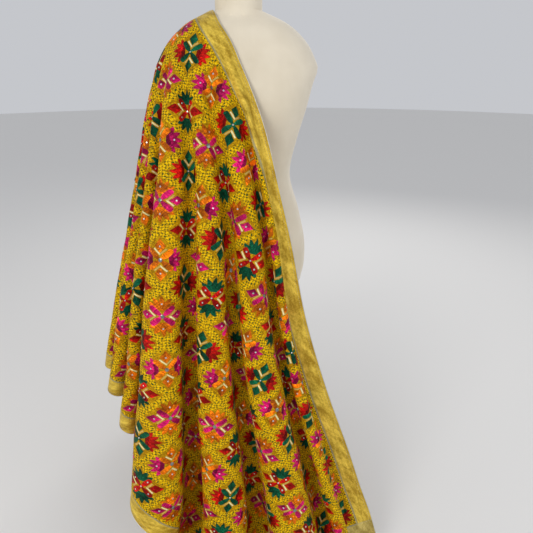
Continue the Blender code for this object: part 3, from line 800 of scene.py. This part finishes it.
def gold_tissue(name, crinkles, shade, bright):
    made, w, surface = material(name)
    work = laid_on_cloth(w, crinkles)
    # painted glint on the crinkles: the colour runs from the dark shade to the bright one
    colour = w.mix(w.span(work["Glint"], 0.42, 0.60, 0.0, 1.0), shade, bright)
    colour = w.mix(w.calc("MULTIPLY", work["Hem"], 0.35), colour, shade)
    colour = w.mix(w.calc("MULTIPLY", work["Selvedge"], 0.75), colour, SELVEDGE_GREY)
    w.put(surface.inputs["Base Color"], colour)
    surface.inputs["Metallic"].default_value = 0.35
    surface.inputs["Roughness"].default_value = 0.42
    surface.inputs["Specular IOR Level"].default_value = 0.3
    w.put(surface.inputs["Normal"], w.bump(work["Height"], 0.9, 0.0036))
    return made


def silver_thread():
    made, w, surface = material("silver_thread")
    turns = w.noise(w.place("Object"), 900.0, 2.0)
    w.put(surface.inputs["Base Color"], w.mix(turns, (0.40, 0.39, 0.34), (0.72, 0.70, 0.62)))
    surface.inputs["Metallic"].default_value = 0.55
    surface.inputs["Roughness"].default_value = 0.38
    w.put(surface.inputs["Normal"], w.bump(turns, 0.6, 0.0003))
    return made


def mirror_glass(name, scale, shades, metal, rough):
    """Silvered glass, clouded in patches. rough is the roughness of its clear and dull parts."""
    made, w, surface = material(name)
    tarnish = w.noise(w.place("Object"), scale, 2.0)
    w.put(surface.inputs["Base Color"], w.mix(tarnish, *shades))
    surface.inputs["Metallic"].default_value = metal
    w.put(surface.inputs["Roughness"], w.span(tarnish, 0.3, 0.7, *rough))
    return made


def silver_mirror():
    shades = ((0.50, 0.50, 0.48), (0.84, 0.84, 0.80))
    return mirror_glass("silver_mirror", 140.0, shades, 0.9, (0.16, 0.34))


def dark_mirror():
    shades = ((0.14, 0.15, 0.14), (0.34, 0.35, 0.33))
    return mirror_glass("dark_mirror", 120.0, shades, 0.85, (0.14, 0.30))


def form_cover():
    """Cream jersey: fine upright wales with courses across, a little unevenly dyed."""
    made, w, surface = material("form_cover")
    place = w.place("Object")
    blotch = w.noise(place, 9.0, 3.0)
    w.put(surface.inputs["Base Color"], w.mix(w.span(blotch, 0.3, 0.7, 0.0, 1.0),
                                              (0.73, 0.645, 0.495), (0.84, 0.755, 0.60)))
    surface.inputs["Roughness"].default_value = 0.86
    surface.inputs["Sheen Weight"].default_value = 0.25
    knit = w.noise(w.scaled(place, (900.0, 900.0, 500.0)), 1.0, 1.0)
    w.put(surface.inputs["Normal"], w.bump(knit, 0.35, 0.0005))
    return made


def dark_wood():
    """Turned wood: rings about the upright axis, broken by long pores."""
    made, w, surface = material("dark_wood")
    place = w.place("Object")
    rings = w.noise(w.scaled(place, (26.0, 26.0, 5.0)), 1.0, 5.0, 0.65)
    w.put(surface.inputs["Base Color"], w.mix(w.span(rings, 0.32, 0.68, 0.0, 1.0),
                                              (0.045, 0.020, 0.010), (0.135, 0.068, 0.032)))
    w.put(surface.inputs["Roughness"], w.span(rings, 0.3, 0.7, 0.26, 0.42))
    w.put(surface.inputs["Normal"], w.bump(rings, 0.15, 0.0006))
    return made


def pole_steel():
    made, w, surface = material("pole_steel")
    brush = w.noise(w.scaled(w.place("Object"), (30.0, 30.0, 1500.0)), 1.0, 2.0)
    surface.inputs["Metallic"].default_value = 1.0
    w.put(surface.inputs["Base Color"], w.mix(brush, (0.46, 0.46, 0.47), (0.64, 0.64, 0.65)))
    w.put(surface.inputs["Roughness"], w.span(brush, 0.3, 0.7, 0.22, 0.38))
    return made


# Pieces


def make_cloth(drape, finishes):
    """The field and its four bands, each a wall over its own rectangle of the cut."""
    gap = SEAM_GAP / PITCH
    rows = np.linspace(*FIELD_ALONG, FIELD_GRID[0])
    files = np.linspace(*FIELD_ACROSS, FIELD_GRID[1])
    neck = np.linspace(FIELD_ACROSS[0] - gap, FIELD_ACROSS[0] - SIDE_BAND, BAND_ACROSS)
    outer = np.linspace(FIELD_ACROSS[1] + gap, FIELD_ACROSS[1] + SIDE_BAND, BAND_ACROSS)
    ahead = np.linspace(FIELD_ALONG[1] + gap, FIELD_ALONG[1] + END_BAND, BAND_ACROSS)
    behind = np.linspace(FIELD_ALONG[0] - gap, FIELD_ALONG[0] - END_BAND, BAND_ACROSS)
    whole = np.linspace(FIELD_ACROSS[0] - SIDE_BAND, FIELD_ACROSS[1] + SIDE_BAND, FIELD_GRID[1] + 14)
    cut = (
        ("embroidered_field", "shawl_field", rows[:, None], files[None, :], "embroidered_cloth"),
        ("neck_side_tissue", "neck_side_band", rows[:, None], neck[None, :], "gold_tissue"),
        ("outer_side_tissue", "outer_side_band", rows[:, None], outer[None, :], "gold_tissue"),
        ("front_end_tissue", "front_end_band", ahead[:, None], whole[None, :], "end_tissue"),
        ("back_end_tissue", "back_end_band", behind[:, None], whole[None, :], "end_tissue"),
    )
    pieces = {}
    for name, node, along, across, finish in cut:
        pieces[name] = wall(name, drape, along, across, finishes[finish])
        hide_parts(node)
    return pieces


PIPING_RADIUS = 0.0010
PIPING_STEP = 0.05


def make_piping(drape, finish):
    """Silver piping over the cut edge, all round the shawl."""
    low_along, high_along = FIELD_ALONG[0] - END_BAND, FIELD_ALONG[1] + END_BAND
    low_across, high_across = FIELD_ACROSS[0] - SIDE_BAND, FIELD_ACROSS[1] + SIDE_BAND
    down = np.arange(low_along, high_along, PIPING_STEP)
    over = np.arange(low_across, high_across, PIPING_STEP)
    along = np.concatenate([down, np.full(len(over), high_along), down[::-1] + PIPING_STEP,
                            np.full(len(over), low_along)])
    across = np.concatenate([np.full(len(down), low_across), over, np.full(len(down), high_across),
                             over[::-1] + PIPING_STEP])
    path, _ = drape.place(np.clip(along, low_along, high_along), np.clip(across, low_across, high_across),
                          WALL * 0.6)
    path[:, 2] = np.maximum(path[:, 2], PIPING_RADIUS)
    return tube("edge_piping", path, PIPING_RADIUS, 8, finish, closed=True)


STITCH_LENGTH = 0.0030
STITCH_PITCH = 0.0052
STITCH_RADIUS = 0.00028
SEAM_STITCH_OFF = 0.035  # from the seam and from the outer edge, in motifs
HEM_STITCH_OFF = 0.07


def make_stitches(drape, finish):
    """Running stitches beside each seam: short threads, each a bent four-sided rod."""
    near, far = FIELD_ACROSS[0] - SEAM_STITCH_OFF, FIELD_ACROSS[1] + SEAM_STITCH_OFF
    first, last = FIELD_ALONG[0] - SEAM_STITCH_OFF, FIELD_ALONG[1] + SEAM_STITCH_OFF
    step = STITCH_PITCH / PITCH
    down = np.arange(FIELD_ALONG[0], FIELD_ALONG[1], step)
    over = np.arange(FIELD_ACROSS[0] - SIDE_BAND, FIELD_ACROSS[1] + SIDE_BAND, step)
    lines = (
        (down, np.full(len(down), near), (1, 0)),
        (down, np.full(len(down), far), (1, 0)),
        (down, np.full(len(down), FIELD_ACROSS[0] - SIDE_BAND + HEM_STITCH_OFF), (1, 0)),
        (down, np.full(len(down), FIELD_ACROSS[1] + SIDE_BAND - HEM_STITCH_OFF), (1, 0)),
        (np.full(len(over), first), over, (0, 1)),
        (np.full(len(over), last), over, (0, 1)),
        (np.full(len(over), FIELD_ALONG[0] - END_BAND + HEM_STITCH_OFF), over, (0, 1)),
        (np.full(len(over), FIELD_ALONG[1] + END_BAND - HEM_STITCH_OFF), over, (0, 1)),
    )
    along = np.concatenate([line[0] for line in lines])
    across = np.concatenate([line[1] for line in lines])
    way = np.concatenate([np.tile(line[2], (len(line[0]), 1)) for line in lines])
    share = np.array([-0.5, 0.0, 0.5])
    lift = WALL + np.array([-0.0001, 0.00035, -0.0001])
    reach = STITCH_LENGTH / PITCH
    a = along[:, None] + way[:, :1] * share * reach
    c = across[:, None] + way[:, 1:] * share * reach
    points, normals = drape.place(a, c, np.broadcast_to(lift, a.shape))
    ahead = points[:, 2:] - points[:, :1]
    ahead /= np.maximum(np.linalg.norm(ahead, axis=2, keepdims=True), 1e-9)
    side = np.cross(ahead, normals)
    corners = points[:, :, None] + STITCH_RADIUS * np.stack([side, normals, -side, -normals], axis=2)
    count = len(along)
    index = np.arange(count * 12).reshape(count, 3, 4)
    after = np.roll(index, -1, axis=2)
    rods = np.stack([index[:, :-1], after[:, :-1], after[:, 1:], index[:, 1:]], axis=-1).reshape(-1, 4)
    ends = np.concatenate([index[:, 0, ::-1], index[:, 2]])
    faces = np.concatenate([rods, ends])
    piece = mesh_piece("seam_stitches", corners.reshape(-1, 3), faces, finish)
    turn_outward(piece)
    return piece


MIRROR_RADIUS = 0.0047
SEQUIN_RADIUS = 0.0021
DISC_SIDES = 12
FIGURE_CENTRE = 0.325    # from the motif's middle to the sequins on diamonds, leaves and arms
ARM_SEQUIN = 0.235
MOTIF_ROWS = 25
MOTIF_FILES = 10


def disc_places():
    """Where the mirrors and sequins are sewn: (along, across) of large and small ones."""
    first = int(FIELD_ALONG[0] + 0.5 - FIRST_MOTIF)
    rows, files = np.meshgrid(np.arange(first, first + MOTIF_ROWS), np.arange(MOTIF_FILES), indexing="ij")
    rows, files = rows.ravel(), files.ravel()
    odd_row, odd_file = rows % 2 == 1, files % 2 == 1
    centres = np.stack([rows + FIRST_MOTIF, files], axis=1)
    mirrored = odd_row != odd_file
    diagonal = FIGURE_CENTRE / np.sqrt(2)
    around = diagonal * np.array([(1, 1), (1, -1), (-1, 1), (-1, -1)])
    arms = ARM_SEQUIN * np.array([(1, 0), (-1, 0), (0, 1), (0, -1)])
    four = (centres[mirrored][:, None] + around).reshape(-1, 2)
    armed = (centres[odd_row & odd_file][:, None] + arms).reshape(-1, 2)
    return centres[mirrored], np.concatenate([centres[~mirrored], four, armed])


def make_discs(name, drape, places, radius, finish):
    """Low domes: a rim ring and a raised inner ring on the cloth's tangent plane, and a top."""
    points, normals = drape.place(places[:, 0], places[:, 1], WALL + 0.0002)
    side = np.cross(normals, (0.0, 0.3, 0.95))
    side /= np.linalg.norm(side, axis=1, keepdims=True)
    up = np.cross(normals, side)
    angle = np.arange(DISC_SIDES) * 2 * np.pi / DISC_SIDES
    ring = side[:, None] * np.cos(angle)[None, :, None] + up[:, None] * np.sin(angle)[None, :, None]
    centre, way = points[:, None], normals[:, None]
    foot = centre - 0.0006 * way + radius * ring
    rim = centre + 0.0003 * way + radius * ring
    inner = centre + 0.0008 * way + 0.72 * radius * ring
    count = len(points)
    body = np.concatenate([foot, rim, inner], axis=1)
    index = np.arange(count * 3 * DISC_SIDES).reshape(count, 3, DISC_SIDES)
    after = np.roll(index, -1, axis=2)
    sides = np.stack([index[:, :-1], after[:, :-1], after[:, 1:], index[:, 1:]], axis=-1).reshape(-1, 4)
    tops, bottoms = index[:, 2], index[:, 0, ::-1]
    halves = []
    for cap in (tops, bottoms):
        for k in range(1, DISC_SIDES - 2, 2):
            halves.append(cap[:, [0, k, k + 1, k + 2]])
    faces = np.concatenate([sides] + halves)
    piece = mesh_piece(name, body.reshape(-1, 3), faces, finish, sharp=DISC_SHARP)
    turn_outward(piece)
    return piece


def form_radius(angle, half_width, front, back):
    """Radius of a section with the cloth loop's outline, at an angle from +X."""
    flat = min(-LOOP_FLAT, 0.5 * half_width)
    quarter = np.linspace(0.0, np.pi / 2, 160)
    bend_x = flat + (half_width - flat) * np.sin(quarter) ** (2 / LOOP_ROUNDNESS)
    bend_y = np.cos(quarter) ** (2 / LOOP_ROUNDNESS)
    x = np.concatenate([[0.0], bend_x, bend_x[-2::-1], [0.0]])
    y = np.concatenate([[front], front * bend_y, -back * bend_y[-2::-1], [-back]])
    around = np.arctan2(y, x)
    order = np.argsort(around)
    folded = np.arctan2(-np.sin(angle), np.abs(np.cos(angle)))
    return np.interp(folded, around[order], np.hypot(x, y)[order])


def form_sizes(heights):
    """Half width, front and back of the form at each height, its own or the cloth's less the slack."""
    levels = loop_levels()
    upward = np.argsort(levels["height"])
    shoulder = np.array(SHOULDER_HEIGHTS)
    knots = np.concatenate([column(FORM_SECTIONS, FORM_COLUMNS, "height"), shoulder])
    sizes = []
    for name, source in (("half_width", "side"), ("front", "front"), ("back", "back")):
        lower = column(FORM_SECTIONS, FORM_COLUMNS, name)
        upper = np.interp(shoulder, levels["height"][upward], levels[source][upward]) - FORM_SLACK
        sizes.append(hermite(heights, knots, np.concatenate([lower, upper])))
    return np.stack(sizes, axis=1)


def make_form(finish):
    """One smooth body from hip to neck. The neck shows where it is wider than the shoulder's section."""
    bottom = FORM_SECTIONS[0][0]
    trunk = np.concatenate([[bottom, bottom + 0.0015, bottom + 0.004, bottom + 0.010, bottom + 0.020],
                            np.linspace(bottom + 0.035, SHOULDER_HEIGHTS[0], 40),
                            np.linspace(SHOULDER_HEIGHTS[0] + 0.006, SHOULDER_HEIGHTS[-1], 20)])
    angle = np.arange(128) * 2 * np.pi / 128
    foot = NECK_RADIUS + NECK_FOOT * (1 - smoothstep(trunk, SHOULDER_HEIGHTS[2], NECK_HEIGHTS[1]))
    neck_in_trunk = np.where(trunk > BUST_HEIGHT, foot, 0.0)
    radii = []
    for neck, size in zip(neck_in_trunk, form_sizes(trunk)):
        section = form_radius(angle, *size)
        fillet = 0.3 * NECK_BLEND * np.exp(-np.abs(section - neck) / NECK_BLEND)
        radii.append(np.maximum(section, neck) + fillet * (neck > 0) * (section < neck + 0.02))
    heights = np.linspace(NECK_HEIGHTS[0], NECK_HEIGHTS[-1], 8)
    radii += [np.full(len(angle), NECK_RADIUS)] * len(heights)
    rings = [np.stack([radius * np.cos(angle), radius * np.sin(angle), np.full(len(angle), height)], axis=1)
             for radius, height in zip(radii, np.concatenate([trunk, heights]))]
    piece = lofted("covered_form", np.array(rings), finish)
    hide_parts("form_body")
    return piece


def arc_profile(start, end, bulge, count):
    """Points between two (radius, height) pairs, bowed outward like a quarter of an ellipse."""
    angle = np.linspace(0.0, np.pi / 2, count)
    if bulge > 0:
        radius = end[0] + (start[0] - end[0]) * np.cos(angle)
        height = start[1] + (end[1] - start[1]) * np.sin(angle)
    else:
        radius = start[0] + (end[0] - start[0]) * np.sin(angle)
        height = end[1] + (start[1] - end[1]) * np.cos(angle)
    return list(zip(radius, height))


def make_stand(wood, metal):
    cap = NECK_HEIGHTS[-1] + TOUCH_GAP
    underside = FORM_SECTIONS[0][0]
    profile = [(CAP_RADIUS - 0.002, cap), (CAP_RADIUS - 0.0006, cap + 0.0006), (CAP_RADIUS, cap + 0.002)]
    profile += [(CAP_RADIUS, cap + CAP_HEIGHT * 0.50)]
    profile += arc_profile((CAP_RADIUS, cap + CAP_HEIGHT * 0.55), (0.0020, cap + CAP_HEIGHT), 1, 22)
    piece = turned("turned_cap", profile, wood, "dark_wood")
    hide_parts("neck_cap")
    piece = turned("brushed_pole", [(POLE_RADIUS, COLLAR_HEIGHT + TOUCH_GAP), (POLE_RADIUS, 0.3),
                                    (POLE_RADIUS, underside - TOUCH_GAP)], metal, "pole_steel", 48)
    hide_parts("stand_pole")
    profile = [(BASE_RADIUS - 0.002, 0.0), (BASE_RADIUS - 0.0006, 0.0006), (BASE_RADIUS, 0.002)]
    profile += arc_profile((BASE_RADIUS, BASE_HEIGHT - 0.004), (BASE_RADIUS - 0.004, BASE_HEIGHT), 1, 8)
    profile += [(BASE_RADIUS - 0.012, BASE_HEIGHT + 0.0002), (BASE_RADIUS * 0.6, BASE_HEIGHT + 0.0018)]
    profile += arc_profile((COLLAR_RADIUS + 0.012, BASE_HEIGHT + 0.004),
                           (COLLAR_RADIUS, BASE_HEIGHT + 0.014), -1, 8)
    profile += [(COLLAR_RADIUS * 0.75, COLLAR_HEIGHT - 0.003),
                (COLLAR_RADIUS * 0.72, COLLAR_HEIGHT - 0.001),
                (COLLAR_RADIUS * 0.68, COLLAR_HEIGHT)]
    piece = turned("turned_base", profile, wood, "dark_wood", 128)
    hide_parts("stand_base")


# Stage


FLOOR_RADIUS = 14.0
FLOOR_SIDES = 96
FLOOR_DROP = 0.0004


def make_stage():
    """A plain pale round floor."""
    made, _, surface = material("pale_floor")
    surface.inputs["Base Color"].default_value = (0.80, 0.79, 0.77, 1.0)
    surface.inputs["Roughness"].default_value = 0.9
    angle = np.arange(FLOOR_SIDES) * 2 * np.pi / FLOOR_SIDES
    rim = np.stack([FLOOR_RADIUS * np.cos(angle), FLOOR_RADIUS * np.sin(angle),
                    np.full(FLOOR_SIDES, -FLOOR_DROP)], axis=1)
    mesh = bpy.data.meshes.new("pale_floor")
    mesh.from_pydata(rim.tolist(), [], [list(range(FLOOR_SIDES))])
    mesh.materials.append(made)
    floor = bpy.data.objects.new("pale_floor", mesh)
    bpy.context.scene.collection.objects.link(floor)


# Lights: name, place, size of the square, power in watts, colour
LIGHTS = (
    ("window", (-1.7, -2.6, 2.1), 1.5, 38.0, (1.0, 0.97, 0.92)),
    ("fill", (2.2, -1.8, 1.5), 2.0, 15.0, (0.96, 0.97, 1.0)),
    ("back", (0.9, 2.4, 2.3), 1.8, 24.0, (1.0, 0.98, 0.95)),
)
LIGHT_AIM = (0.0, 0.0, 0.75)


def make_lights():
    for name, place, size, power, colour in LIGHTS:
        data = bpy.data.lights.new(name, "AREA")
        data.shape = "SQUARE"
        data.size = size
        data.energy = power
        data.color = colour
        light = bpy.data.objects.new(name, data)
        light.location = place
        light.rotation_euler = (Vector(LIGHT_AIM) - Vector(place)).to_track_quat("-Z", "Y").to_euler()
        bpy.context.scene.collection.objects.link(light)
    world = bpy.data.worlds.new("studio")
    bpy.context.scene.world = world
    world.use_nodes = True
    background = world.node_tree.nodes["Background"]
    background.inputs["Color"].default_value = (0.93, 0.95, 1.0, 1.0)
    background.inputs["Strength"].default_value = 0.60


def make_camera():
    data = bpy.data.cameras.new("photo_view")
    data.sensor_width = SENSOR
    data.lens = SENSOR * FOCAL_PIXELS / FRAME_PIXELS
    camera = bpy.data.objects.new("photo_view", data)
    camera.location = CAMERA_PLACE
    camera.rotation_euler = (np.radians(90.0 - CAMERA_PITCH), 0.0, 0.0)
    bpy.context.scene.collection.objects.link(camera)
    bpy.context.scene.camera = camera


def main():
    make_camera()
    make_lights()
    make_stage()
    bpy.context.scene.view_settings.view_transform = "Standard"
    crinkles = crinkle_group()
    finishes = {
        "embroidered_cloth": embroidered_cloth(motif_group()),
        "gold_tissue": gold_tissue("gold_tissue", crinkles, *TISSUE_SHADES),
        "end_tissue": gold_tissue("end_tissue", crinkles, *END_SHADES),
    }
    silver = silver_thread()
    drape = Drape()
    pieces = make_cloth(drape, finishes)
    piping = make_piping(drape, silver)
    stitches = make_stitches(drape, silver)
    large, small = disc_places()
    mirrors = make_discs("sewn_mirrors", drape, large, MIRROR_RADIUS, dark_mirror())
    sequins = make_discs("sewn_sequins", drape, small, SEQUIN_RADIUS, silver_mirror())
    make_form(form_cover())
    make_stand(dark_wood(), pole_steel())


main()
